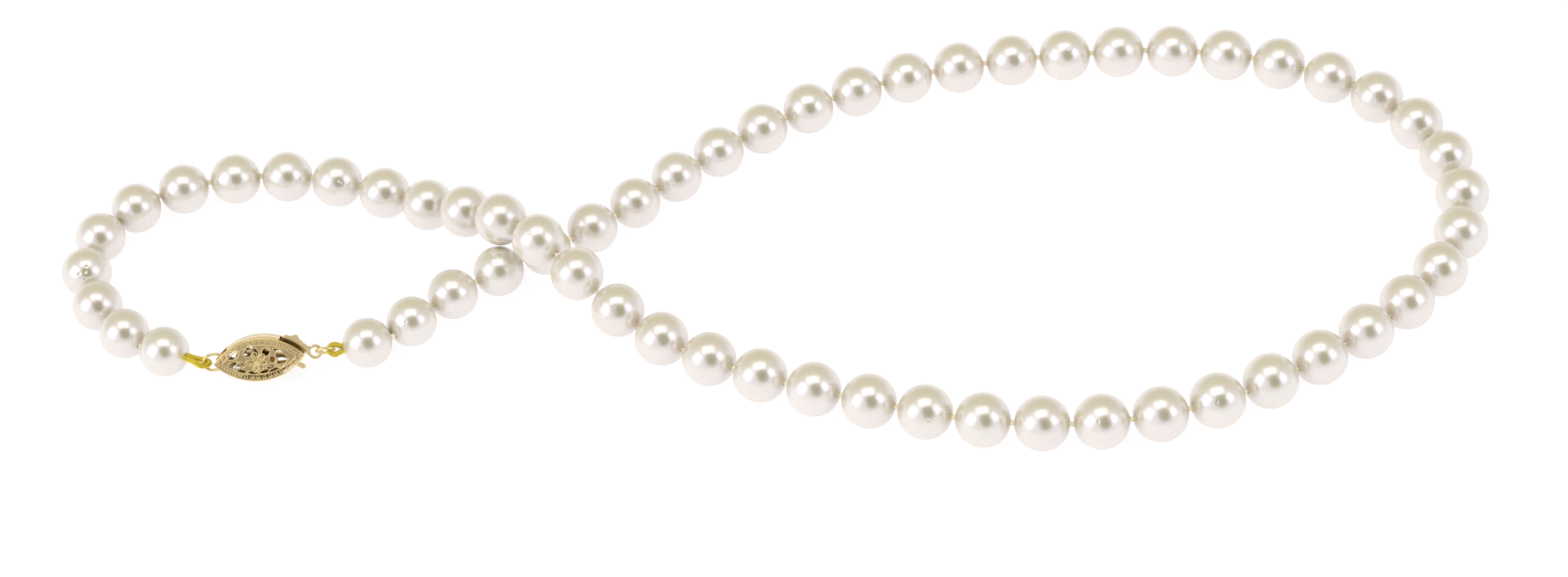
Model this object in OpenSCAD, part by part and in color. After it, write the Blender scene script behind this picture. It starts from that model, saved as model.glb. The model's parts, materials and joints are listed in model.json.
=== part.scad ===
// A knotted strand of graduated pearls with a filigree hook clasp.
// It lies on a flat surface in a figure of eight: a small loop that holds the clasp on the -X
// side, and a large loop on the +X side. Units are millimetres, +Z is up, z = 0 is the surface.

/* [Strand] */
// Diameter of the largest pearl, in the middle of the strand
pearl_d = 7.2; // [6.8:0.1:7.3]
// How much smaller the pearls beside the clasp are
pearl_taper = 0.55; // [0:0.05:0.8]
// Space between neighbouring pearls, taken up by a knot
knot_gap = 0.42; // [0.35:0.01:0.45]
// Diameter of a knot
knot_d = 0.86; // [0.7:0.02:0.88]
// Diameter of the hole through a pearl
hole_d = 0.9; // [0.9:0.05:1.1]
// Diameter of the silk thread
silk_d = 0.5; // [0.3:0.05:0.6]
// Height that the upper run rises where the strand crosses itself
hump_h = 6.4; // [6.4:0.1:7]
// Length of strand from the top of that rise down to the surface
hump_reach = 24; // [22:1:28]

/* [Gimp and rings] */
// Outer diameter of the coiled gimp that covers the silk at the clasp
gimp_d = 0.8; // [0.7:0.05:0.8]
// Diameter of the hollow inside the gimp
gimp_bore = 0.44; // [0.4:0.02:0.5]
// Radius of the gimp's loop, at the middle of its coil
gimp_loop_r = 0.7; // [0.68:0.02:0.74]
// Wire diameter of the jump rings
ring_wire = 0.4; // [0.3:0.05:0.42]
// Half width of a jump ring, at the middle of its wire
ring_half_w = 1.05; // [0.9:0.05:1.1]

/* [Clasp] */
// Length of the clasp box from tip to tip
clasp_len = 12.2; // [12:0.1:12.4]
// Width of the clasp box
clasp_w = 5.8; // [5.6:0.1:6]
// Depth of the clasp box, front face to back face
clasp_depth = 3; // [2.8:0.1:3.1]
// Thickness of the front and back plates
plate_t = 0.35; // [0.3:0.05:0.4]
// Thickness of the side bands
band_t = 0.3; // [0.2:0.05:0.4]
// Diameter of the two bars between the plates at the tips
bar_d = 0.6; // [0.5:0.05:0.7]
// Angle that the box leans back from lying flat
clasp_lean = 59; // [55:1:62]
// Thickness of the hook
hook_t = 0.45; // [0.35:0.05:0.5]
// Width of each arm of the hook
arm_w = 0.6; // [0.5:0.05:0.7]

/* [Hidden] */
$fn = 48;
clear = 0.03;
pearl_colour = "ivory";
silk_colour = "cornsilk";
gold_colour = "gold";
gimp_colour = "goldenrod";

// The strand: pearls 1 to pearl_count run from the box's side of the clasp round to the hook's.
pearl_count = 59;
middle_pearl = 30;
function pearl_r(i) =
    (pearl_d - pearl_taper * pow((i - middle_pearl) / (pearl_count - middle_pearl), 2)) / 2;
function pitch(i) = 2 * pearl_r(i) + knot_gap;

// Plan of the strand as it lies, from the first pearl's outer end to the last pearl's.
route_shift = [-0.3, 0.1];
route = [
    [-78, -6], [-86.5, -1], [-93, 12.5], [-87, 24], [-73, 28], [-59, 25.5], [-46, 18],
    [-35, 8], [-25.5, -2.5], [-14.5, -13], [-2.5, -21], [11, -27.5], [25, -33], [40, -35.5],
    [55, -34], [69.5, -28], [82, -20], [91.5, -8.5], [92.5, 5.5], [86, 19], [73.5, 28.5],
    [59.5, 33.5], [45, 35], [30, 35], [15, 32.5], [1.5, 27], [-10.5, 19.5], [-23, 10.5],
    [-36.5, 4], [-46, -1.5], [-51.2, -6.6], [-58.3, -7.6]
];

// A smooth curve through the route's points.
route_steps = 12;
last_point = len(route) - 1;
function route_point(i) =
    i < 0 ? 2 * route[0] - route[1]
    : i > last_point ? 2 * route[last_point] - route[last_point - 1]
    : route[i];
function blend(a, b, c, d, t) =
    0.5 * (2 * b + (c - a) * t + (2 * a - 5 * b + 4 * c - d) * t * t
           + (3 * b - a - 3 * c + d) * t * t * t);
curve = [
    for (i = [0 : last_point - 1], k = [0 : route_steps - 1])
        blend(route_point(i - 1), route_point(i), route_point(i + 1), route_point(i + 2),
              k / route_steps) + route_shift,
    route[last_point] + route_shift
];

// Length along the curve at each of its points, and the curve as tables over that length.
function running_total(v, i = 0, sum = 0) =
    i >= len(v) ? [sum] : concat([sum], running_total(v, i + 1, sum + v[i]));
curve_len = running_total([for (i = [1 : len(curve) - 1]) norm(curve[i] - curve[i - 1])]);
x_table = [for (i = [0 : len(curve) - 1]) [curve_len[i], curve[i][0]]];
y_table = [for (i = [0 : len(curve) - 1]) [curve_len[i], curve[i][1]]];
function plan(u) = [lookup(u, x_table), lookup(u, y_table)];

// Knot i follows pearl i; knots 0 and pearl_count are the strand's two ends.
knot_station = running_total([for (i = [1 : pearl_count]) pitch(i)]);
hump_knot = 14.2;
hump_station = knot_station[floor(hump_knot)]
    + (hump_knot - floor(hump_knot)) * pitch(ceil(hump_knot));
function lift(s) = hump_h * pow(cos(90 * min(abs(s - hump_station) / hump_reach, 1)), 2);

// Climbing over the hump uses up strand, so length in plan is shorter than length along it.
hump_steps = 120;
step = 2 * hump_reach / hump_steps;
hump_start = hump_station - hump_reach;
hump_plan = running_total([
    for (k = [1 : hump_steps])
        sqrt(step * step - pow(lift(hump_start + k * step) - lift(hump_start + (k - 1) * step), 2))
]);
plan_table = concat(
    [[0, 0]],
    [for (k = [0 : hump_steps]) [hump_start + k * step, hump_start + hump_plan[k]]],
    [[1000, 1000 - 2 * hump_reach + hump_plan[hump_steps]]]
);
function knot_at(i) =
    let (s = knot_station[i], p = plan(lookup(s, plan_table)),
         r = (pearl_r(max(i, 1)) + pearl_r(min(i + 1, pearl_count))) / 2)
    [p[0], p[1], r + lift(s)];
knots = [for (i = [0 : pearl_count]) knot_at(i)];
function pearl_at(i) = (knots[i - 1] + knots[i]) / 2;

// Runs of neighbouring pearls that move as one: name, first pearl, last pearl.
RUNS = [
    ["first", 1, 1], ["left_end", 2, 7], ["left_mid", 8, 11], ["left_back", 12, 14],
    ["over", 15, 20], ["front_1", 21, 22], ["front_2", 23, 24], ["front_3", 25, 27],
    ["front_4", 28, 30], ["front_5", 31, 33], ["right_end", 34, 36], ["back_5", 37, 40],
    ["back_4", 41, 42], ["back_3", 43, 45], ["back_2", 46, 48], ["back_1", 49, 50],
    ["under", 51, 55], ["left_front", 56, 57], ["last", 58, 59]
];
function pearls_of(run) = str("pearls_", run[0]);
function silk_of(run) = str("silk_", run[0]);

// Clasp: its own x runs along the box towards the hook, z out of its front face.
clasp_pos = [-68.6, -7.5, 3.45];
lens_r = (pow(clasp_len / 2, 2) + pow(clasp_w / 2, 2)) / clasp_w;
half_depth = clasp_depth / 2;
inner_half = half_depth - plate_t;
band_from = -4.2;
band_to = 2.9;
bar_x = clasp_len / 2 - 0.85;
ring_grip = bar_d / 2 + ring_wire / 2 + clear;
left_ring_from = -7.5;
left_ring_to = -bar_x + ring_grip;
eyelet_x = 7.3;
eyelet_r = 1.0;
eyelet_hole_d = 1.1;
right_ring_from = eyelet_x + eyelet_hole_d / 2 - ring_wire / 2 - 0.15;
right_ring_to = 9.85;
right_ring_tilt = -30;
function ring_straight(from, to) = max(to - from - 2 * ring_half_w, 0.1);
slot_half = 0.72;
bend_x = -2;

// Where each gimp starts, just outside the pearl's hole, and where it meets its ring.
function unit(v) = v / norm(v);
function outer_end(pearl, inner_knot) =
    pearl_at(pearl)
    + unit(pearl_at(pearl) - knots[inner_knot]) * (pearl_r(pearl) + gimp_d / 2 + 0.05);
gimp_left_start = outer_end(1, 1);
gimp_right_start = outer_end(pearl_count, pearl_count - 1);
gimp_left_grip = clasp_pos + [left_ring_from, 0, 0];
gimp_right_grip = clasp_pos + [right_ring_to, 0, 0];
gimp_left_roll = 15;
gimp_right_roll = clasp_lean + right_ring_tilt;
gimp_wrap = ring_wire / 2 + gimp_d / 2 + clear + 0.06;
function gimp_straight(start, grip) =
    max(floor(10 * (norm(grip - start) + gimp_wrap - 2 * gimp_loop_r)) / 10, 0.1);
function gimp_end(start, grip) =
    grip + unit(start - grip) * (gimp_straight(start, grip) + 2 * gimp_loop_r - gimp_wrap);

// Draws its children with +x pointing from a to b.
module aim(a, b) {
    d = b - a;
    translate(a) rotate([0, -asin(d[2] / norm(d)), atan2(d[1], d[0])]) children();
}

// A round rod from a to b.
module rod(a, b, d) {
    aim(a, b) rotate([0, 90, 0]) cylinder(d = d, h = norm(b - a));
}

// Half of a drilled pearl's section, turned about the hole's axis.
module drilled_pearl(r) {
    rotate([0, 90, 0])
        rotate_extrude()
            intersection() {
                circle(r = r);
                translate([hole_d / 2, -r]) square([r, 2 * r]);
            }
}

module pearls(run) {
    color(pearl_colour)
        for (i = [run[1] : run[2]])
            aim(knots[i - 1], knots[i])
                translate([norm(knots[i] - knots[i - 1]) / 2, 0, 0]) drilled_pearl(pearl_r(i));
}

// An oval of round wire in its own xy plane, from x = from, with two straight sides.
module oval(from, straight, half_w, d) {
    for (end = [0, 1])
        translate([from + half_w + end * straight, 0, 0])
            rotate([0, 0, end == 0 ? 90 : -90])
                rotate_extrude(angle = 180) translate([half_w, 0]) circle(d = d);
    for (side = [-1, 1])
        translate([from + half_w, side * half_w, 0])
            rotate([0, 90, 0]) cylinder(d = d, h = straight);
}

// The silk's way at the clasp: round the ring's wire at grip, and back to the pearl at start.
module gimp_loop(start, grip, roll, d) {
    aim(grip, start) rotate([roll, 0, 0])
        oval(-gimp_wrap, gimp_straight(start, grip), gimp_loop_r, d);
}

// A coiled sleeve over the silk; it is hollow, and open towards the pearl's hole.
module gimp(start, grip, roll, inner_knot) {
    inner = gimp_end(start, grip);
    entry = unit(knots[inner_knot] - inner);
    color(gimp_colour)
        difference() {
            gimp_loop(start, grip, roll, gimp_d);
            union() {
                gimp_loop(start, grip, roll, gimp_bore);
                rod(inner - clear * entry, inner + entry, silk_d + 2 * clear);
            }
        }
}

// Thread through pearl i, which stops short of a knot that belongs to the run before.
module thread(i, first) {
    a = knots[i - 1];
    b = knots[i];
    start = i == 1 ? gimp_end(gimp_left_start, gimp_left_grip)
        : i == first ? a + unit(b - a) * (knot_d / 2 + clear)
        : a;
    end = i == pearl_count ? gimp_end(gimp_right_start, gimp_right_grip) : b;
    rod(start, end, silk_d);
}

module silk(run) {
    color(silk_colour)
        union() {
            for (i = [run[1] : run[2]]) {
                thread(i, run[1]);
                if (i < pearl_count)
                    aim(knots[i], knots[i + 1]) rotate([0, 0, 90]) sphere(d = knot_d);
            }
            if (run[1] == 1)
                gimp_loop(gimp_left_start, gimp_left_grip, gimp_left_roll, gimp_bore - 2 * clear);
            if (run[2] == pearl_count)
                gimp_loop(gimp_right_start, gimp_right_grip, gimp_right_roll, gimp_bore - 2 * clear);
        }
}

module gimp_left() {
    gimp(gimp_left_start, gimp_left_grip, gimp_left_roll, 1);
}

module gimp_right() {
    gimp(gimp_right_start, gimp_right_grip, gimp_right_roll, pearl_count - 1);
}

module on_clasp() {
    translate(clasp_pos) rotate([clasp_lean, 0, 0]) children();
}

module ring_left() {
    color(gold_colour)
        on_clasp() oval(left_ring_from, ring_straight(left_ring_from, left_ring_to),
                        ring_half_w, ring_wire);
}

module ring_right() {
    color(gold_colour)
        on_clasp() rotate([90 + right_ring_tilt, 0, 0])
            oval(right_ring_from, ring_straight(right_ring_from, right_ring_to),
                 ring_half_w, ring_wire);
}

// Pointed oval outline: two arcs that meet at the tips.
module lens(r, half_w) {
    intersection() {
        translate([0, half_w - r]) circle(r = r, $fn = 128);
        translate([0, r - half_w]) circle(r = r, $fn = 128);
    }
}

// A leaf-shaped opening of a given length and width.
module leaf(at, turn, long, wide) {
    translate(at) rotate(turn)
        lens((pow(long / 2, 2) + pow(wide / 2, 2)) / wide, wide / 2);
}

module filigree_openings() {
    for (side = [-1, 1]) {
        leaf([side * 3.5, -0.1], 0, 2.8, 1.3);
        leaf([side * 1.6, 1.55], side * -20, 2.2, 1);
        leaf([side * 1.7, -1.65], side * 18, 2.6, 0.7);
    }
    circle(d = 0.4);
}

module clasp_plate(z) {
    color(gold_colour)
        on_clasp() translate([0, 0, z])
            linear_extrude(plate_t)
                difference() {
                    lens(lens_r, clasp_w / 2);
                    filigree_openings();
                }
}

module clasp_front() {
    clasp_plate(inner_half);
}

module clasp_back() {
    clasp_plate(-half_depth);
}

module clasp_band(side) {
    color(gold_colour)
        on_clasp() translate([0, 0, -inner_half])
            linear_extrude(2 * inner_half)
                intersection() {
                    difference() {
                        lens(lens_r, clasp_w / 2);
                        lens(lens_r - band_t, clasp_w / 2 - band_t);
                    }
                    translate([band_from, side > 0 ? 0 : -clasp_w])
                        square([band_to - band_from, clasp_w]);
                }
}

module clasp_bar(x) {
    color(gold_colour)
        on_clasp() translate([x, 0, -inner_half]) cylinder(d = bar_d, h = 2 * inner_half);
}

// Half of a flat ring, open towards +x.
module bend() {
    difference() {
        cylinder(r = slot_half + arm_w, h = hook_t);
        translate([0, 0, -1]) cylinder(r = slot_half, h = hook_t + 2);
        translate([0, -3, -1]) cube([3, 6, hook_t + 2]);
    }
}

// The bar's slot runs between two arms that a bend joins inside the box. The upper arm carries
// a fin for the finger and a neck with an eyelet; the lower arm ends in a short tail.
module hook() {
    tail = [4.1, -slot_half - arm_w / 2];
    color(gold_colour)
        on_clasp() translate([0, 0, -hook_t / 2])
            difference() {
                union() {
                    translate([bend_x, 0, 0]) bend();
                    translate([bend_x - 0.1, slot_half, 0]) cube([5.5, arm_w, hook_t]);
                    translate([bend_x - 0.1, -slot_half - arm_w, 0])
                        cube([tail[0] - bend_x + 0.1, arm_w, hook_t]);
                    translate(tail) cylinder(d = arm_w, h = hook_t);
                    translate(tail) rotate(-28) translate([0, -arm_w / 2, 0])
                        cube([1.6, arm_w, hook_t]);
                    translate(tail) rotate(-28) translate([1.6, 0, 0])
                        cylinder(d = arm_w, h = hook_t);
                    linear_extrude(hook_t)
                        polygon([
                            [3.2, slot_half], [3.2, 2.2], [4.9, 2.1], [5.6, 1.75], [6.4, 0.9],
                            [7.1, 0.7], [7.1, -0.7], [6.4, -0.5], [5.95, 0.2], [5.6, slot_half]
                        ]);
                    translate([3.75, 2.15, 0]) cylinder(r = 0.55, h = hook_t);
                    translate([4.9, 2.05, 0]) cylinder(r = 0.55, h = hook_t);
                    translate([eyelet_x, 0, 0]) cylinder(r = eyelet_r, h = hook_t);
                }
                translate([eyelet_x, 0, -1]) cylinder(d = eyelet_hole_d, h = hook_t + 2);
            }
}

for (run = RUNS) {
    pearls(run);
    silk(run);
}
gimp_left();
gimp_right();
ring_left();
ring_right();
clasp_front();
clasp_back();
clasp_band(1);  // clasp_band_upper
clasp_band(-1);  // clasp_band_lower
clasp_bar(-bar_x);  // ring_bar
clasp_bar(bar_x);  // hook_bar
hook();
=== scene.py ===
"""Looks for a knotted strand of graduated pearls with a filigree hook clasp."""
import json
import math
import random

import bpy
import numpy as np
from mathutils import Matrix, Vector, noise


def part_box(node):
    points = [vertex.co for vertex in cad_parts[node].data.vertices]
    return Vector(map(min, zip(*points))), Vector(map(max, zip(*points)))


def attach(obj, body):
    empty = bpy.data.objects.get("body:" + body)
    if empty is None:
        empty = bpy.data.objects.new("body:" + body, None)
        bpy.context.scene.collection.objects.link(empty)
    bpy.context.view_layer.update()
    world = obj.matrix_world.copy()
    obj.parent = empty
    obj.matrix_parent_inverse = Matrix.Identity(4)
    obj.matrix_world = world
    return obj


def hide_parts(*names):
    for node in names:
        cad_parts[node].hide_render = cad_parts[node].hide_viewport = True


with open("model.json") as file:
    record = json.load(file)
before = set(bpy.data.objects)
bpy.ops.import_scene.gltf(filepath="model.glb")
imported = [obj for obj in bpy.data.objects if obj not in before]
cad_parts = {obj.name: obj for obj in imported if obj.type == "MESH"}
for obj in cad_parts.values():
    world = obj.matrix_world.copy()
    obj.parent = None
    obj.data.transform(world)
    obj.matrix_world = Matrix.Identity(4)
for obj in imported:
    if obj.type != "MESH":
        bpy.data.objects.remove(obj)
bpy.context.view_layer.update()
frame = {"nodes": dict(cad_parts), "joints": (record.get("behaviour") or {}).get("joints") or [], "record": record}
MM = 0.001
nodes = frame["nodes"]
joints = {j["name"]: j for j in frame["joints"]}
body_of = {n: b for b, group in frame["record"]["behaviour"]["bodies"].items() for n in group}
scene = bpy.context.scene

# ---------------------------------------------------------------- mesh building


class Build:
    """Gathers points, faces and a value per point, then makes one object. On the gold the value follows the relief
    and sets painted shade; on the pearls it is their own tone.
    """

    def __init__(self):
        self.points, self.faces, self.values = [], [], []

    def add(self, points, faces, value=0.0):
        base = len(self.points)
        self.points += [tuple(p) for p in points]
        self.faces += [[base + i for i in f] for f in faces]
        self.values += list(value) if hasattr(value, "__len__") else [value] * len(points)

    def grid(self, rows, wrap_rows, wrap_across, value=0.0):
        """Quads between rows of equal length."""
        n, m = len(rows), len(rows[0])
        faces = []
        for a in range(n if wrap_rows else n - 1):
            b = (a + 1) % n
            for k in range(m if wrap_across else m - 1):
                q = (k + 1) % m
                faces.append([a * m + k, b * m + k, b * m + q, a * m + q])
        self.add([p for row in rows for p in row], faces, value)

    def caps(self, rows, value, swap=False):
        """Closes the first and the last row; swap turns both faces over."""
        face = list(range(len(rows[0])))
        self.add(rows[0], [face[::-1] if swap else face], value)
        self.add(rows[-1], [face if swap else face[::-1]], value)

    def make(self, name, material, replaced, place=None):
        """One object that rides with, and stands for, the CAD node that it replaces."""
        mesh = bpy.data.meshes.new(name)
        mesh.from_pydata(self.points, [], self.faces)
        mesh.attributes.new("tone", "FLOAT", "POINT").data.foreach_set("value", self.values)
        mesh.validate()
        mesh.transform(place or Matrix.Identity(4))
        mesh.transform(Matrix.Scale(MM, 4))
        mesh.shade_smooth()
        mesh.materials.append(material)
        obj = bpy.data.objects.new(name, mesh)
        scene.collection.objects.link(obj)
        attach(obj, body_of[replaced])
        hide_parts(replaced)


def angles(count):
    """Equal steps of one full turn, in radians, without the end."""
    return [2 * math.pi * k / count for k in range(count)]


def arc(centre, radius, degrees):
    """Points at the given angles round a centre."""
    return [(centre[0] + radius * math.cos(a), centre[1] + radius * math.sin(a))
            for a in map(math.radians, degrees)]


def frames_along(path, closed):
    """A side and an up direction at each point of a path, turning as little as possible."""
    n = len(path)
    tangents = []
    for i in range(n):
        a = path[i - 1] if closed or i else path[i]
        b = path[(i + 1) % n] if closed or i < n - 1 else path[i]
        tangents.append((b - a).normalized())
    up = Vector((0, 0, 1))
    if abs(tangents[0].dot(up)) > 0.9:
        up = Vector((0, 1, 0))
    sides, ups = [], []
    for t in tangents:
        side = t.cross(up).normalized()
        up = side.cross(t).normalized()
        sides.append(side)
        ups.append(up)
    return sides, ups


def sweep(build, path, radius, sides=8, closed=False, value=0.0):
    """A round wire along a path; radius is one number or one for each point."""
    path = [Vector(p) for p in path]
    radii = radius if hasattr(radius, "__len__") else [radius] * len(path)
    side, up = frames_along(path, closed)
    rows = []
    for i, p in enumerate(path):
        rows.append([p + radii[i] * (math.cos(a) * side[i] + math.sin(a) * up[i])
                     for a in angles(sides)])
    build.grid(rows, closed, True, value)
    if not closed:
        build.caps(rows, value)


def bead(build, centre, radius, value, sides, rings, flat):
    """A small ball that is widest across the xy plane; flat is its height over its width."""
    points = [(centre[0], centre[1], centre[2] + flat * radius)]
    for j in range(1, rings):
        a = math.pi * j / rings
        for b in angles(sides):
            points.append((centre[0] + radius * math.sin(a) * math.cos(b),
                           centre[1] + radius * math.sin(a) * math.sin(b),
                           centre[2] + flat * radius * math.cos(a)))
    points.append((centre[0], centre[1], centre[2] - flat * radius))
    last = len(points) - 1
    faces = [[0, 1 + k, 1 + (k + 1) % sides] for k in range(sides)]
    for j in range(rings - 2):
        a = 1 + j * sides
        for k in range(sides):
            q = (k + 1) % sides
            faces.append([a + k, a + sides + k, a + sides + q, a + q])
    a = 1 + (rings - 2) * sides
    faces += [[last, a + (k + 1) % sides, a + k] for k in range(sides)]
    build.add(points, faces, value)


# ---------------------------------------------------------------- materials


class Shader:
    """Short calls for a node material."""

    def __init__(self, name):
        self.material = bpy.data.materials.new(name)
        self.material.use_nodes = True
        self.tree = self.material.node_tree
        self.surface = self.tree.nodes["Principled BSDF"]
        self.place = self.node("ShaderNodeTexCoord").outputs["Object"]

    def node(self, kind, **values):
        n = self.tree.nodes.new(kind)
        for key, value in values.items():
            setattr(n, key, value)
        return n

    def link(self, a, b):
        self.tree.links.new(a, b)

    def set(self, **values):
        for key, value in values.items():
            self.surface.inputs[key.replace("_", " ")].default_value = value

    def noise(self, scale, detail=3.0, roughness=0.5):
        n = self.node("ShaderNodeTexNoise")
        n.inputs["Scale"].default_value = scale
        n.inputs["Detail"].default_value = detail
        n.inputs["Roughness"].default_value = roughness
        self.link(self.place, n.inputs["Vector"])
        return n.outputs["Fac"]

    def ramp(self, fac, *stops):
        """stops are (position, colour) pairs; a number stands for a grey."""
        n = self.node("ShaderNodeValToRGB")
        while len(n.color_ramp.elements) < len(stops):
            n.color_ramp.elements.new(0.5)
        for element, (position, colour) in zip(n.color_ramp.elements, stops):
            element.position = position
            element.color = (*colour, 1) if hasattr(colour, "__len__") else (colour,) * 3 + (1,)
        self.link(fac, n.inputs["Fac"])
        return n.outputs["Color"]

    def mix(self, fac, a, b, how="MIX"):
        """a where fac is 0, and b over it where fac is 1; all are numbers, colours or sockets."""
        n = self.node("ShaderNodeMix", data_type="RGBA", blend_type=how)
        for value, socket in ((fac, n.inputs[0]), (a, n.inputs[6]), (b, n.inputs[7])):
            if isinstance(value, bpy.types.NodeSocket):
                self.link(value, socket)
            else:
                socket.default_value = value if isinstance(value, float) else (*value, 1)
        return n.outputs[2]

    def tone(self):
        """The value that Build keeps for each point: painted shade on the gold, the pearls' own tone."""
        return self.node("ShaderNodeAttribute", attribute_name="tone").outputs["Fac"]

    def bump(self, height, strength, distance):
        n = self.node("ShaderNodeBump")
        n.inputs["Strength"].default_value = strength
        n.inputs["Distance"].default_value = distance
        self.link(height, n.inputs["Height"])
        self.link(n.outputs["Normal"], self.surface.inputs["Normal"])


def pearl_material():
    s = Shader("nacre")
    clouds = s.ramp(s.noise(140, 2), (0.3, (0.76, 0.69, 0.41)), (0.7, (0.80, 0.74, 0.49)))
    overtone = s.ramp(s.tone(), (0.0, (0.99, 1.0, 0.965)), (0.5, (1.0, 0.995, 0.98)),
                      (1.0, (1.0, 0.975, 0.965)))
    s.link(s.mix(1.0, clouds, overtone, "MULTIPLY"), s.surface.inputs["Base Color"])
    s.link(s.ramp(s.noise(420, 2), (0.3, 0.26), (0.7, 0.30)), s.surface.inputs["Roughness"])
    s.bump(s.noise(700, 1), 0.03, 0.0004)
    s.set(IOR=6.2, Specular_Tint=(0.89, 0.87, 1.0, 1.0), Coat_Weight=0.2, Coat_Roughness=0.22,
          Coat_IOR=1.45)
    return s.material


def silk_material():
    s = Shader("silk_thread")
    s.link(s.ramp(s.noise(3000, 3), (0.3, (0.84, 0.77, 0.56)), (0.7, (0.95, 0.91, 0.76))),
           s.surface.inputs["Base Color"])
    s.link(s.ramp(s.noise(5000, 2), (0.3, 0.6), (0.7, 0.8)), s.surface.inputs["Roughness"])
    s.bump(s.noise(9000, 2), 0.3, 0.0001)
    # The emission is a painted glow: it lightens the thread and knots where they sit in shade, and is no lamp.
    s.set(Sheen_Weight=0.4, Sheen_Roughness=0.4, Emission_Color=(1.0, 0.86, 0.62, 1.0),
          Emission_Strength=0.2)
    return s.material


def gold_material(name, deep, pale, low_rough, high_rough):
    """Pale where the value kept for each point is high, and darker where it is low: painted shade down in the
    recesses and inside the box.
    """
    s = Shader(name)
    # Painted shade in the recesses from the value kept for each point, with a little noise for wear.
    recess_shade_and_wear = s.mix(0.15, s.tone(), s.noise(1400, 2), "OVERLAY")
    s.link(s.ramp(recess_shade_and_wear, (0.1, deep), (0.75, pale)), s.surface.inputs["Base Color"])
    s.link(s.ramp(s.noise(700, 4, 0.6), (0.3, low_rough), (0.7, high_rough)),
           s.surface.inputs["Roughness"])
    s.bump(s.noise(3000, 2), 0.05, 0.0001)
    s.set(Metallic=1.0)
    return s.material


pearl_mat = pearl_material()
silk_mat = silk_material()
gold_mat = gold_material("yellow_gold", (0.27, 0.17, 0.04), (0.84, 0.68, 0.35), 0.15, 0.24)
gimp_mat = gold_material("gilt_wire", (0.22, 0.17, 0.01), (0.84, 0.70, 0.09), 0.25, 0.4)

# ---------------------------------------------------------------- pearls

RUNS = ["first", "left_end", "left_mid", "left_back", "over", "front_1", "front_2", "front_3",
        "front_4", "front_5", "right_end", "back_5", "back_4", "back_3", "back_2", "back_1",
        "under", "left_front", "last"]
HOLE_D = 0.9
# Rows round the hole and points in each row, for a plain pearl and for a marked one.
PLAIN_GRID, MARKED_GRID = (56, 72), (150, 180)
# The skin's slow waves as a share of the radius, and its fine ones in mm.
SKIN_WAVES, SKIN_RIPPLES = 0.0025, 0.004
BORE_ROWS = 7
BORE_SHORT, BORE_TIGHT = 0.05, 0.03


def solids(node):
    """The separate solids of a CAD node, in millimetres: arrays of points and of triangles."""
    mesh = nodes[node].data
    mesh.calc_loop_triangles()
    points = np.array([v.co[:] for v in mesh.vertices]) / MM
    keys, point_of = {}, []
    for p in np.round(points, 4):
        point_of.append(keys.setdefault(tuple(p), len(keys)))
    owner = list(range(len(keys)))

    def top(i):
        while owner[i] != i:
            owner[i] = owner[owner[i]]
            i = owner[i]
        return i

    triangles = [[point_of[i] for i in t.vertices] for t in mesh.loop_triangles]
    for t in triangles:
        for i in t[1:]:
            owner[top(i)] = top(t[0])
    welded = np.array(list(keys))
    groups = {}
    for t in triangles:
        groups.setdefault(top(t[0]), []).append(t)
    return [(welded, np.array(g)) for g in groups.values()]


def measure_pearl(points, triangles):
    """Centre, radius and hole direction of one drilled ball."""
    used = points[np.unique(triangles)]
    fit = np.linalg.lstsq(np.c_[2 * used, np.ones(len(used))], (used ** 2).sum(1), rcond=None)[0]
    centre = fit[:3]
    radius = math.sqrt(fit[3] + centre @ centre)
    middles = points[triangles].mean(1)
    wall = triangles[np.linalg.norm(middles - centre, axis=1) < 0.6 * radius]
    rim = points[np.unique(wall)] - centre
    axis = np.linalg.svd(rim, full_matrices=False)[2][0]
    return Vector(centre), radius, Vector(axis)


def in_order():
    """Every pearl as (run, centre, radius, axis), from the clasp's box round to its hook."""
    lo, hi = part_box("gimp_left")
    at = (lo + hi) / 2 / MM
    strand = []
    for run in RUNS:
        left = [measure_pearl(*s) for s in solids("pearls_" + run)]
        while left:
            nearest = min(left, key=lambda pearl: (pearl[0] - at).length)
            left.remove(nearest)
            centre, radius, axis = nearest
            if axis.dot(centre - at) < 0:
                axis = -axis
            strand.append((run, centre, radius, axis))
            at = centre
    return strand


pearls = in_order()
# Pits and dents on single pearls, by place in the strand: the direction from the pearl's
# centre (right, up and towards the viewer), then half width and depth in mm.
MARKS = {
    4: [((-0.15, -0.05, 1.0), 0.16, 0.10), ((0.12, 0.0, 1.0), 0.2, 0.12),
        ((0.18, 0.22, 1.0), 0.14, 0.08), ((0.05, -0.25, 1.0), 0.12, 0.07)],
    10: [((0.18, -0.02, 1.0), 0.2, 0.10), ((0.3, -0.1, 1.0), 0.12, 0.06)],
    15: [((-0.3, 0.3, 1.0), 0.12, 0.05)],
    17: [((-0.1, 0.1, 1.0), 0.75, 0.05)],
    23: [((0.05, -0.3, 1.0), 0.14, 0.06)],
    26: [((-0.2, 0.05, 1.0), 0.13, 0.08)],
    28: [((-0.15, -0.05, 1.0), 0.12, 0.07), ((-0.1, 0.02, 1.0), 0.1, 0.05)],
    44: [((0.1, 0.2, 1.0), 0.12, 0.05)],
    58: [((-0.15, 0.0, 1.0), 0.1, 0.07)],
}
MARK_REACH = 2.5
VIEW_SIDE = Vector((0.0, -0.712, 0.702))
VIEW_RIGHT = Vector((1.0, 0.0, 0.0))
VIEW_UP = VIEW_RIGHT.cross(VIEW_SIDE) * -1


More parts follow.
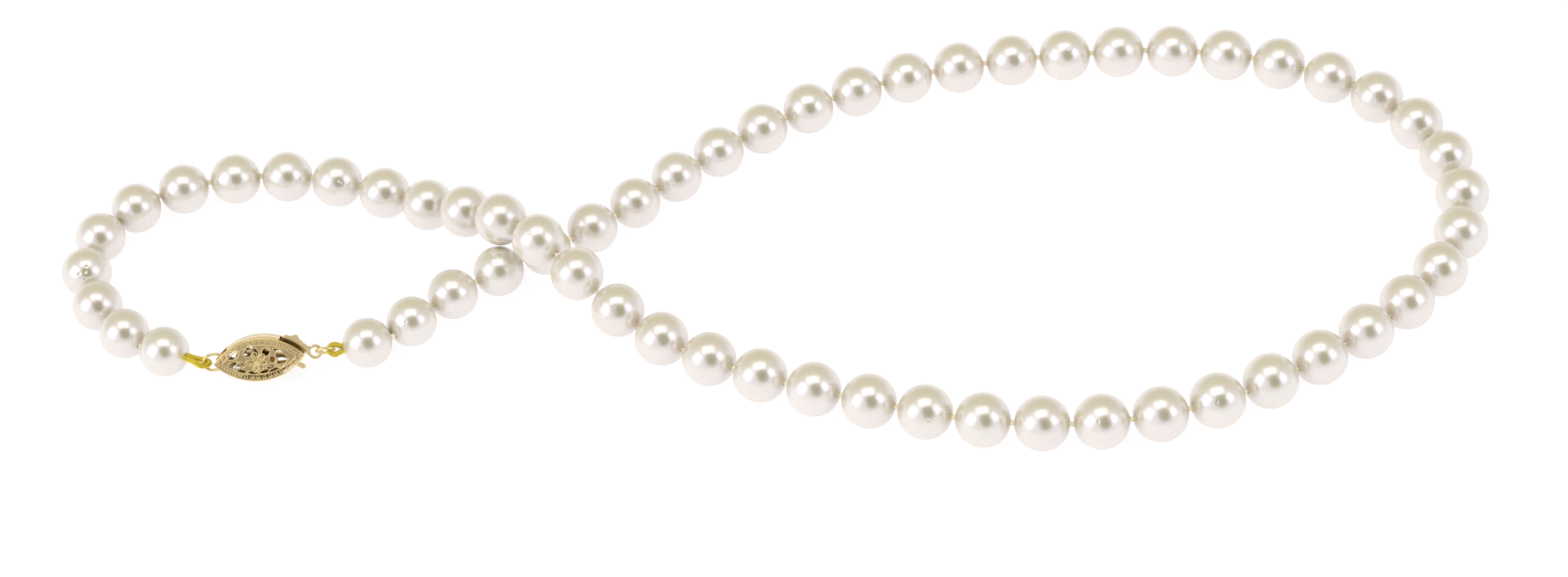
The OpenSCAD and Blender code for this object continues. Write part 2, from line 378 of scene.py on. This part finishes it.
def pearl_rows(number, centre, radius, axis):
    """Rows of points round the hole: over the skin, then back through the drilled bore."""
    marks = [((VIEW_RIGHT * d[0] + VIEW_UP * d[1] + VIEW_SIDE * d[2]).normalized(), w, deep)
             for d, w, deep in MARKS.get(number, [])]
    rings, segments = MARKED_GRID if marks else PLAIN_GRID
    side = axis.orthogonal().normalized()
    other = axis.cross(side)
    lip = math.asin(HOLE_D / 2 / radius)
    seed = Vector((number * 1.7, number * 0.9, number * 2.3))
    rows = []
    for j in range(rings + 1):
        a = lip + (math.pi - 2 * lip) * j / rings
        row = []
        for b in angles(segments):
            d = axis * math.cos(a) + (side * math.cos(b) + other * math.sin(b)) * math.sin(a)
            r = radius * (1 - SKIN_WAVES * (1 + noise.noise(d * 1.3 + seed)))
            r -= SKIN_RIPPLES * (1 + noise.noise(d * 5 + seed))
            for m, w, deep in marks:
                far = (d - m).length * radius / w
                if far < MARK_REACH:
                    r -= deep * math.exp(-far * far) * (1 + 0.6 * noise.noise(d * 30 + seed))
            row.append(centre + d * r)
        rows.append(row)
    depth = radius * math.cos(lip)
    for j in range(BORE_ROWS):
        back = depth - BORE_SHORT - 2 * (depth - BORE_SHORT) * j / (BORE_ROWS - 1)
        rows.append([centre - axis * back
                     + (side * math.cos(b) + other * math.sin(b)) * (HOLE_D / 2 - BORE_TIGHT)
                     for b in angles(segments)])
    return rows


tones = random.Random(59)
for run in RUNS:
    build = Build()
    for number, (owner, centre, radius, axis) in enumerate(pearls, 1):
        if owner == run:
            build.grid(pearl_rows(number, centre, radius, axis), True, True,
                       tones.uniform(0, 1))
    build.make("pearls." + run, pearl_mat, "pearls_" + run)

# ---------------------------------------------------------------- silk and knots

# Two plies of radius PLY_R wind round the thread's line, with one turn in TWIST mm.
THREAD_R = 0.23
PLY_R, PLY_OUT = THREAD_R * 0.52, THREAD_R * 0.48
TWIST, TWIST_STEP = 1.1, 0.12
KNOT_WIDE, KNOT_LONG, KNOT_PLY_R, KNOT_STEPS = 0.085, 0.14, 0.145, 60
# The thread goes on past each pearl, and stops short at the strand's two ends.
PAST_PEARL, SHORT_OF_END = 0.12, 0.3
SILK_IN_GIMP_R = 0.17
# The two legs of a loop start LEG_APART thicknesses to each side of the thread's line.
BEND_STEPS, LEG_STEPS, LEG_APART = 14, 12, 0.42


def knot_after(number):
    """The middle of the gap between a pearl and the next, by place in the strand."""
    _, a, ra, axis_a = pearls[number - 1]
    _, b, rb, axis_b = pearls[number]
    return ((a + axis_a * ra) + (b - axis_b * rb)) / 2


def add_knot(build, centre, along):
    """An overhand knot pulled tight: a small trefoil of thread round the strand's line."""
    side = along.orthogonal().normalized()
    other = along.cross(side)
    path = []
    for t in angles(KNOT_STEPS):
        x = math.sin(t) + 2 * math.sin(2 * t)
        y = math.cos(t) - 2 * math.cos(2 * t)
        z = -math.sin(3 * t)
        path.append(centre + (side * x + other * y) * KNOT_WIDE + along * z * KNOT_LONG)
    sweep(build, path, KNOT_PLY_R, 10, closed=True, value=0.5)


def add_thread(build, start, end):
    """Two plies twisted together from start to end."""
    along = (end - start).normalized()
    side = along.orthogonal().normalized()
    other = along.cross(side)
    length = (end - start).length
    steps = max(int(length / TWIST_STEP), 4)
    for ply in (0, math.pi):
        path = []
        for k in range(steps + 1):
            a = ply + 2 * math.pi * length * k / steps / TWIST
            path.append(start + along * length * k / steps
                        + (side * math.cos(a) + other * math.sin(a)) * PLY_OUT)
        sweep(build, path, PLY_R, 6, value=0.5)


def oval_of(node):
    """Centre, long, wide and thin directions and sizes of an oval CAD loop, in mm."""
    points = np.array([v.co[:] for v in nodes[node].data.vertices]) / MM
    centre = (points.min(0) + points.max(0)) / 2
    for _ in range(2):
        axes = np.linalg.svd(points - centre, full_matrices=False)[2]
        local = (points - centre) @ axes.T
        centre = centre + (local.min(0) + local.max(0)) / 2 @ axes
    local = (points - centre) @ axes.T
    size = local.max(0) - local.min(0)
    return Vector(centre), [Vector(a) for a in axes], [float(v) for v in size]


def teardrop(steps, near, node, d):
    """A loop of thread from near, round a ring at the oval's far end, and back to near."""
    centre, (long, wide, _), size = oval_of(node)
    if long.dot(near - centre) > 0:
        long = -long
    loop_r = (size[1] - d) / 2
    round_at = centre + long * ((size[0] - d) / 2 - loop_r)
    reach = (round_at - near).length
    spread = math.asin(min(loop_r * 0.9 / reach, 0.99))
    path = []
    for k in range(-steps, steps + 1):
        a = (math.pi / 2 + spread) * k / steps
        path.append(round_at + (long * math.cos(a) + wide * math.sin(a)) * loop_r)
    lead, back = [], []
    for k in range(LEG_STEPS):
        t = k / LEG_STEPS
        blend = t * t * t * t * (5 - 4 * t)
        middle = near + (path[-1] + path[0] - near * 2) / 2 * t
        apart = wide * (d * LEG_APART * (1 - blend) + (path[-1] - path[0]).length / 2 * blend)
        lead.append(middle - apart)
        back.insert(0, middle + apart)
    return lead + path + back


GIMP_D = 0.8
GIMP_IN_PEARL = 0.15
# The pearl that each gimp comes out of, and which way along the strand it goes.
GIMP_ENDS = {"gimp_left": (1, -1), "gimp_right": (len(pearls), 1)}
gimp_paths = {}
for node, (number, way) in GIMP_ENDS.items():
    _, centre, radius, axis = pearls[number - 1]
    mouth = centre + axis * way * (radius - GIMP_IN_PEARL)
    gimp_paths[node] = teardrop(BEND_STEPS, mouth, node, GIMP_D)

for run in RUNS:
    build = Build()
    numbers = [n for n, pearl in enumerate(pearls, 1) if pearl[0] == run]
    for n in numbers:
        _, centre, radius, axis = pearls[n - 1]
        start = centre - axis * (radius + (PAST_PEARL if n > 1 else -SHORT_OF_END))
        end = centre + axis * (radius + (PAST_PEARL if n < len(pearls) else -SHORT_OF_END))
        add_thread(build, start, end)
        if n < len(pearls):
            add_knot(build, knot_after(n), (pearls[n][1] - centre).normalized())
    for node, (number, _) in GIMP_ENDS.items():
        if number in numbers:
            sweep(build, gimp_paths[node], SILK_IN_GIMP_R, 8, value=0.5)
    build.make("silk." + run, silk_mat, "silk_" + run)

# ---------------------------------------------------------------- gimps and rings

COIL_WIRE_R = 0.085
COIL_PITCH = 0.165
COIL_STEPS = 14
COIL_R = GIMP_D / 2 - COIL_WIRE_R
RING_WIRE = 0.4


def resample(path, spacing):
    """Points a fixed distance apart along a path."""
    lengths = [0.0]
    for a, b in zip(path, path[1:]):
        lengths.append(lengths[-1] + (b - a).length)
    count = max(int(lengths[-1] / spacing), 2)
    out, i = [], 0
    for k in range(count + 1):
        s = lengths[-1] * k / count
        while i < len(path) - 2 and lengths[i + 1] < s:
            i += 1
        t = (s - lengths[i]) / max(lengths[i + 1] - lengths[i], 1e-9)
        out.append(path[i].lerp(path[i + 1], min(t, 1.0)))
    return out


def add_coil(build, path):
    """A close coil of fine wire round the path."""
    spine = resample(path, COIL_PITCH / COIL_STEPS)
    side, up = frames_along(spine, False)
    coil = []
    for k, p in enumerate(spine):
        a = 2 * math.pi * k / COIL_STEPS
        coil.append(p + (side[k] * math.cos(a) + up[k] * math.sin(a)) * COIL_R)
    sweep(build, coil, COIL_WIRE_R, 6, value=0.7)
    # A dark core fills the coil as painted shade, so that no light shows between its turns.
    sweep(build, resample(path, 0.15), COIL_R - 0.02, 12, value=0.25)


for node in GIMP_ENDS:
    build = Build()
    add_coil(build, gimp_paths[node])
    build.make(node.replace("_", "."), gimp_mat, node)

for node in ("ring_left", "ring_right"):
    centre, (long, wide, _), size = oval_of(node)
    end_r = (size[1] - RING_WIRE) / 2
    straight = size[0] - size[1]
    outline = []
    for end in (1, -1):
        for k in range(25):
            a = math.pi * (k / 24 - 0.5)
            outline.append(centre + (long * (straight / 2 + end_r * math.cos(a))
                                     + wide * end_r * math.sin(a)) * end)
    build = Build()
    sweep(build, outline, RING_WIRE / 2, 16, closed=True, value=0.9)
    build.make(node.replace("_", "."), gold_mat, node)

# ---------------------------------------------------------------- clasp

# The clasp's own directions: x along the box to the hook, y up its face, z out of its front.
CLASP_LEAN = 59.0
CLASP = Matrix.Translation(Vector(joints["clasp_roll"]["pos_m"]) / MM) \
    @ Matrix.Rotation(math.radians(CLASP_LEAN), 4, "X")
CLASP_LEN, CLASP_W = 12.2, 5.8
# Each side of the outline is an arc of this radius.
SIDE_R = ((CLASP_LEN / 2) ** 2 + (CLASP_W / 2) ** 2) / CLASP_W
HALF_DEPTH = 1.5
PLATE_T = 0.35
HALF_GAP = HALF_DEPTH - PLATE_T
# The plate under the relief is thinner and smaller than the CAD plate, to leave it room.
RELIEF, PLATE_INSET, PLATE_BEVEL = 0.1, 0.06, 0.04
BORDER_W = 0.92
FLOWER = (-0.33, -0.45)
# The flower's petals: direction in degrees, length and half width.
PETALS = [(100, 1.62, 0.42), (48, 1.55, 0.42), (2, 1.3, 0.34), (-52, 1.15, 0.33),
          (-112, 1.2, 0.36), (168, 1.45, 0.4)]
PETAL_STEPS = 24
# One squared hook of the border: along the border, and outward.
HOOK_KEY = [(-0.22, -0.15), (-0.22, 0.15), (0.2, 0.15), (0.2, -0.11), (-0.02, -0.11)]
KEY_SPACING, KEY_INSET, KEY_R = 0.78, 0.58, 0.06
# The border's smooth wires: inset, radius, height above the face and tone, the value that sets their painted
# shade.
RIMS = [(0.11, 0.1, -0.03, 0.95), (0.31, 0.045, 0.0, 0.7), (BORDER_W - 0.02, 0.085, 0.0, 0.95)]


def lens(inset, steps=48):
    """A closed pointed oval, the clasp's outline moved in by inset: a list of (x, y)."""
    r = SIDE_R - inset
    half_w = CLASP_W / 2 - inset
    tip = math.sqrt(r * r - (r - half_w) ** 2)
    spread = math.asin(tip / r)
    upper = []
    for k in range(steps):
        a = spread - 2 * spread * k / steps
        upper.append((r * math.sin(a), half_w - r + r * math.cos(a)))
    return upper + [(-x, -y) for x, y in upper]


def placed(outline, cx, cy, turn):
    """An outline turned by some degrees and moved to its centre."""
    c, s = math.cos(math.radians(turn)), math.sin(math.radians(turn))
    return [(cx + x * c - y * s, cy + x * s + y * c) for x, y in outline]


def blob(cx, cy, long, wide, turn=0.0, point=0.0, steps=20):
    """A closed rounded opening; point above 0 draws its ends out into tips."""
    return placed([(long / 2 * math.cos(a),
                    wide / 2 * math.sin(a) * (1 - point * abs(math.cos(a)) ** 3))
                   for a in angles(steps)], cx, cy, turn)


def heart(cx, cy, size, turn=0.0, steps=24):
    """A closed heart-shaped opening."""
    return placed([(size * 0.5 * math.sin(t) ** 3,
                    size * (0.40 * math.cos(t) - 0.15 * math.cos(2 * t)
                            - 0.06 * math.cos(3 * t)))
                   for t in angles(steps)], cx, cy, turn)


# Openings through the front, and the larger ones through the back that line up with them.
OPENINGS = [
    blob(-3.35, 0.98, 1.7, 1.0, 27, 0.5), blob(-3.05, -0.45, 2.2, 0.95, -6, 0.5),
    heart(-0.95, 1.2, 1.95, 178), blob(1.0, 0.98, 1.35, 0.92, 46, 0.2),
    blob(1.72, -0.12, 0.74, 0.78), heart(2.9, -0.2, 1.95, 92),
    blob(1.45, -1.04, 1.3, 0.48, 17, 0.5), blob(2.8, -1.08, 0.9, 0.36, 26, 0.6),
    blob(0.5, -1.62, 1.4, 0.42, 8, 0.6), blob(-1.0, -1.64, 1.4, 0.42, -8, 0.6),
    blob(-2.5, -1.3, 1.3, 0.42, -18, 0.6), blob(2.55, 0.98, 1.25, 0.42, -25, 0.6),
]
BACK_OPENINGS = [
    blob(side * x, lift * y, long, wide, side * lift * turn, 0.5)
    for side in (-1, 1) for lift, x, y, long, wide, turn in
    ((-1, 3.05, 0.42, 2.5, 1.05, 4), (1, 3.0, 1.1, 2.3, 0.8, 22), (1, 1.0, 1.35, 1.2, 0.8, 6),
     (-1, 1.0, 1.35, 1.2, 0.8, 6))
]


def flat_piece(outlines, thick, bevel):
    """A flat plate with openings and rounded edges, centred on z = 0: points and faces."""
    curve = bpy.data.curves.new("outline", "CURVE")
    curve.dimensions = "2D"
    curve.fill_mode = "BOTH"
    curve.extrude = thick / 2 - bevel
    curve.bevel_depth = bevel
    curve.bevel_resolution = 2
    curve.offset = -bevel
    for outline in outlines:
        spline = curve.splines.new("POLY")
        spline.points.add(len(outline) - 1)
        for point, (x, y) in zip(spline.points, outline):
            point.co = (x, y, 0, 1)
        spline.use_cyclic_u = True
    holder = bpy.data.objects.new("outline", curve)
    scene.collection.objects.link(holder)
    bpy.context.view_layer.update()
    mesh = bpy.data.meshes.new_from_object(
        holder.evaluated_get(bpy.context.evaluated_depsgraph_get()))
    points = [v.co.copy() for v in mesh.vertices]
    faces = [list(p.vertices) for p in mesh.polygons]
    bpy.data.objects.remove(holder)
    bpy.data.curves.remove(curve)
    bpy.data.meshes.remove(mesh)
    return points, faces


def places_round(outline, spacing):
    """Points at equal spacing round a closed outline, each with its direction."""
    closed = [Vector((x, y, 0)) for x, y in outline]
    closed.append(closed[0])
    points = resample(closed, spacing)[:-1]
    return [(p, (points[(i + 1) % len(points)] - points[i - 1]).normalized())
            for i, p in enumerate(points)]


def petal(build, turn, long, wide, face):
    """One raised petal: a rounded outline of wire round a low leaf, from the flower's middle."""
    c, s = math.cos(turn), math.sin(turn)

    def at(x, y, z):
        return FLOWER[0] + x * c - y * s, FLOWER[1] + x * s + y * c, z

    outline, leaf = [], []
    for a in angles(PETAL_STEPS):
        x = long * (0.56 + 0.44 * math.cos(a))
        y = wide * math.sin(a) * (0.85 + 0.3 * math.cos(a))
        outline.append(at(x, y, face + 0.04))
        leaf.append(at(x, y * 0.9, face - 0.02))
    sweep(build, outline, 0.09, 8, closed=True, value=0.95)
    # The low leaf inside each petal's wire is painted darker, as shade in the recess.
    build.add(leaf + [at(long * 0.55, 0, face + 0.05)],
              [[k, (k + 1) % PETAL_STEPS, PETAL_STEPS] for k in range(PETAL_STEPS)],
              [0.35] * PETAL_STEPS + [0.6])
    vein = [at(long * r, 0, face + 0.05) for r in (0.3, 0.5, 0.7)]
    sweep(build, vein, [0.07, 0.055, 0.03], 6, value=0.9)


def filigree(build, openings, face):
    """The relief on one plate, whose outer surface is at z = face."""
    for inset, r, lift, tone in RIMS:
        sweep(build, [(x, y, face + lift) for x, y in lens(inset)], r, 8, closed=True, value=tone)
    # The border: a running row of squared hooks between the smooth rims.
    for p, d in places_round(lens(KEY_INSET), KEY_SPACING):
        out = Vector((d.y, -d.x, 0))
        path = resample([p + d * a + out * b + Vector((0, 0, face)) for a, b in HOOK_KEY], KEY_R)
        sweep(build, path, KEY_R, 6, value=0.95)
    for turn, long, wide in PETALS:
        petal(build, math.radians(turn), long, wide, face)
    ring = [(FLOWER[0] + 0.3 * math.cos(a), FLOWER[1] + 0.3 * math.sin(a), face + 0.05)
            for a in angles(20)]
    sweep(build, ring, 0.09, 8, closed=True, value=0.95)
    bead(build, (FLOWER[0], FLOWER[1], face + 0.02), 0.2, 0.7, 12, 8, 0.6)
    # Wire round every opening.
    for outline in openings:
        total = Vector((sum(p[0] for p in outline), sum(p[1] for p in outline), 0))
        centre = total / len(outline)
        path = []
        for x, y in outline:
            away = (Vector((x, y, 0)) - centre).normalized()
            path.append(Vector((x, y, face - 0.02)) + away * 0.09)
        sweep(build, path, 0.07, 6, closed=True, value=0.9)


for node, way, openings in (("clasp_front", 1, OPENINGS), ("clasp_back", -1, BACK_OPENINGS)):
    build = Build()
    plate_t = PLATE_T - RELIEF
    points, faces = flat_piece([lens(PLATE_INSET)] + openings, plate_t, PLATE_BEVEL)
    middle = HALF_DEPTH - RELIEF - plate_t / 2
    # Painted shade: the plate's ground is darker than its relief, and its inner face, inside the box, is darker
    # still.
    values = [0.4 if p.z > 0 else 0.25 for p in points]
    build.add([(p.x, p.y, p.z + middle) for p in points], faces, values)
    filigree(build, openings, middle + plate_t / 2)
    if way < 0:
        build.points = [(x, -y, -z) for x, y, z in build.points]
    build.make(node.replace("_", "."), gold_mat, node, CLASP)

BAND_FROM, BAND_TO, BAND_T = -4.2, 2.9, 0.3
BAND_STEPS = 60
for node, way in (("clasp_band_upper", 1), ("clasp_band_lower", -1)):
    half_h = HALF_GAP - 0.001
    section = [(0.0, -half_h + 0.06), (0.03, -half_h + 0.02), (0.08, -half_h),
               (BAND_T - 0.05, -half_h), (BAND_T, -half_h + 0.05), (BAND_T, half_h - 0.05),
               (BAND_T - 0.05, half_h), (0.08, half_h), (0.03, half_h - 0.02),
               (0.0, half_h - 0.06)]
    rows = []
    for k in range(BAND_STEPS + 1):
        a = math.asin((BAND_FROM + (BAND_TO - BAND_FROM) * k / BAND_STEPS) / SIDE_R)
        rows.append([((SIDE_R - t) * math.sin(a),
                      way * (CLASP_W / 2 - SIDE_R + (SIDE_R - t) * math.cos(a)),
                      way * z) for t, z in section])
    build = Build()
    build.grid(rows, False, True, 0.9)
    build.caps(rows, 0.9)
    build.make(node.replace("_", "."), gold_mat, node, CLASP)

BAR_R = 0.3
BAR_FROM_TIP = 0.85
BAR_PROFILE = [(BAR_R * 0.96, -HALF_GAP), (BAR_R, -HALF_GAP + 0.06), (BAR_R * 0.97, 0),
               (BAR_R, HALF_GAP - 0.06), (BAR_R * 0.96, HALF_GAP)]
for node, way in (("ring_bar", -1), ("hook_bar", 1)):
    x = way * (CLASP_LEN / 2 - BAR_FROM_TIP)
    rows = [[(x + r * math.cos(a), r * math.sin(a), z) for a in angles(24)]
            for r, z in BAR_PROFILE]
    build = Build()
    build.grid(rows, False, True, 0.7)
    build.caps(rows, 0.7, swap=True)
    build.make(node.replace("_", "."), gold_mat, node, CLASP)

HOOK_T, HOOK_BEVEL = 0.45, 0.07
SLOT_HALF, ARM_W = 0.72, 0.6
BEND_X, EYELET_X = -2.0, 7.3
EYELET_R, EYELET_HOLE_R = 1.0, 0.6
FIN_R = 0.55


def hook_outline():
    """One way round the hook: outer bend, lower arm and tail, slot, then neck, fin and top."""
    wide = SLOT_HALF + ARM_W
    outer = arc((BEND_X, 0), wide, [90 + 180 * k / 24 for k in range(25)])
    tail = [(4.05, -wide), (4.5, -1.5), (5.2, -2.0), (5.5, -2.14), (5.8, -2.02), (5.84, -1.72),
            (5.6, -1.48), (4.6, -0.94), (4.1, -SLOT_HALF)]
    inner = arc((BEND_X, 0), SLOT_HALF, [270 - 180 * k / 20 for k in range(21)])
    neck = [(3.4, SLOT_HALF), (5.55, SLOT_HALF - 0.02), (5.85, 0.3), (6.25, -0.3)]
    eye = arc((EYELET_X, 0), EYELET_R, [205 + 265 * k / 24 for k in range(25)])
    top = [(6.9, 0.78), (6.45, 0.85), (6.0, 1.3), (5.62, 1.78)]
    fin = arc((4.9, 2.05), FIN_R, (-10, 20, 50, 80, 110, 135))
    fin += arc((3.75, 2.15), FIN_R, (45, 75, 105, 135, 165, 190))
    return outer + tail + inner + neck + eye + top + fin + [(3.2, 1.6), (3.0, wide)]


build = Build()
eyelet = [(EYELET_X + EYELET_HOLE_R * math.cos(a), EYELET_HOLE_R * math.sin(a))
          for a in angles(32)]
points, faces = flat_piece([hook_outline(), eyelet], HOOK_T, HOOK_BEVEL)
build.add(points, faces, 0.85)
build.make("hook.blade", gold_mat, "hook", CLASP)

# ---------------------------------------------------------------- camera, light and floor

CAMERA_AT = Vector((1.2, -380.05, 373.37)) * MM
CAMERA_AIM = Vector((1.2, -1.55, 0.0)) * MM
CAMERA_ROLL = math.radians(6.077)
SENSOR_W, LENS = 36.0, 91.2
camera_data = bpy.data.cameras.new("camera")
camera_data.sensor_width = SENSOR_W
camera_data.lens = LENS
camera = bpy.data.objects.new("camera", camera_data)
ahead = (CAMERA_AIM - CAMERA_AT).normalized()
level = ahead.cross(Vector((0, 0, 1))).normalized()
upward = level.cross(ahead)
right = level * math.cos(CAMERA_ROLL) - upward * math.sin(CAMERA_ROLL)
up = level * math.sin(CAMERA_ROLL) + upward * math.cos(CAMERA_ROLL)
turn = Matrix((right, up, -ahead)).transposed().to_4x4()
camera.matrix_world = Matrix.Translation(CAMERA_AT) @ turn
scene.collection.objects.link(camera)
scene.camera = camera


def softbox(name, azimuth, elevation, distance, size, power, colour):
    """A rectangular area light that faces the necklace; azimuth 0 is the camera's side."""
    data = bpy.data.lights.new(name, "AREA")
    data.shape = "RECTANGLE"
    data.size, data.size_y = size
    data.energy = power
    data.color = colour
    light = bpy.data.objects.new(name, data)
    a, e = math.radians(azimuth), math.radians(elevation)
    at = Vector((math.sin(a) * math.cos(e), -math.cos(a) * math.cos(e), math.sin(e))) * distance
    light.location = at
    light.rotation_euler = (-at).to_track_quat("-Z", "Y").to_euler()
    scene.collection.objects.link(light)


softbox("softbox_top", 0, 85, 0.8, (0.70, 0.44), 1.35, (1.0, 0.99, 0.98))
softbox("softbox_left", -66, 31, 0.9, (0.56, 0.66), 1.7, (0.95, 0.95, 1.0))
softbox("softbox_right", 62, 33, 0.9, (0.40, 0.50), 0.85, (0.97, 0.96, 1.0))

world = bpy.data.worlds.new("studio")
world.use_nodes = True
scene.world = world
tree = world.node_tree
place = tree.nodes.new("ShaderNodeTexCoord").outputs["Generated"]


def toward(direction, edge, soft):
    """1 inside a cone of half angle edge round a direction, fading to 0 over soft degrees."""
    dot = tree.nodes.new("ShaderNodeVectorMath")
    dot.operation = "DOT_PRODUCT"
    tree.links.new(place, dot.inputs[0])
    dot.inputs[1].default_value = Vector(direction).normalized()
    fade = tree.nodes.new("ShaderNodeMapRange")
    fade.inputs["From Min"].default_value = math.cos(math.radians(edge + soft))
    fade.inputs["From Max"].default_value = math.cos(math.radians(edge))
    tree.links.new(dot.outputs["Value"], fade.inputs["Value"])
    return fade.outputs["Result"]


def blend_colour(fac, a, b):
    """a where fac is 0, and b where it is 1; both are colours or sockets."""
    n = tree.nodes.new("ShaderNodeMix")
    n.data_type = "RGBA"
    tree.links.new(fac, n.inputs[0])
    for value, socket in ((a, n.inputs[6]), (b, n.inputs[7])):
        if isinstance(value, bpy.types.NodeSocket):
            tree.links.new(value, socket)
        else:
            socket.default_value = (*value, 1)
    return n.outputs[2]


TENT_FRONT, TENT_BEHIND = (0.90, 0.89, 1.0), (0.64, 0.61, 0.46)
TENT_GAP, HORIZON = (0.02, 0.015, 0.0), (0.98, 0.98, 1.0)
TENT_STRENGTH = 0.95

# A pale tent, dimmer and warm behind, with one dark gap where the photographer stands.
tent = blend_colour(toward((0, 1, 0.5), 35, 70), TENT_FRONT, TENT_BEHIND)
for lift in (-0.16, 0.16):
    tent = blend_colour(toward((0.17, -0.70, 0.69 + lift), 20, 6), tent, TENT_GAP)
# Down at the horizon the tent is as pale as the floor that it stands on.
tent = blend_colour(toward((0, 0, 1), 72, 12), HORIZON, tent)
background = tree.nodes["Background"]
tree.links.new(tent, background.inputs["Color"])
background.inputs["Strength"].default_value = TENT_STRENGTH

floor_shader = Shader("pale_floor")
floor_shader.link(floor_shader.ramp(floor_shader.noise(30, 2), (0.3, (0.40, 0.40, 0.41)),
                                    (0.7, (0.42, 0.42, 0.43))),
                  floor_shader.surface.inputs["Base Color"])
floor_shader.set(Roughness=0.9, Emission_Color=(0.97, 0.96, 1.0, 1.0), Emission_Strength=0.76)
FLOOR_HALF = 3.0
floor_mesh = bpy.data.meshes.new("floor")
floor_mesh.from_pydata([(x * FLOOR_HALF, y * FLOOR_HALF, 0.0)
                        for x, y in ((-1, -1), (1, -1), (1, 1), (-1, 1))], [], [(0, 1, 2, 3)])
floor_mesh.materials.append(floor_shader.material)
floor = bpy.data.objects.new("floor", floor_mesh)
scene.collection.objects.link(floor)

scene.view_settings.view_transform = "Standard"

bpy.context.view_layer.update()
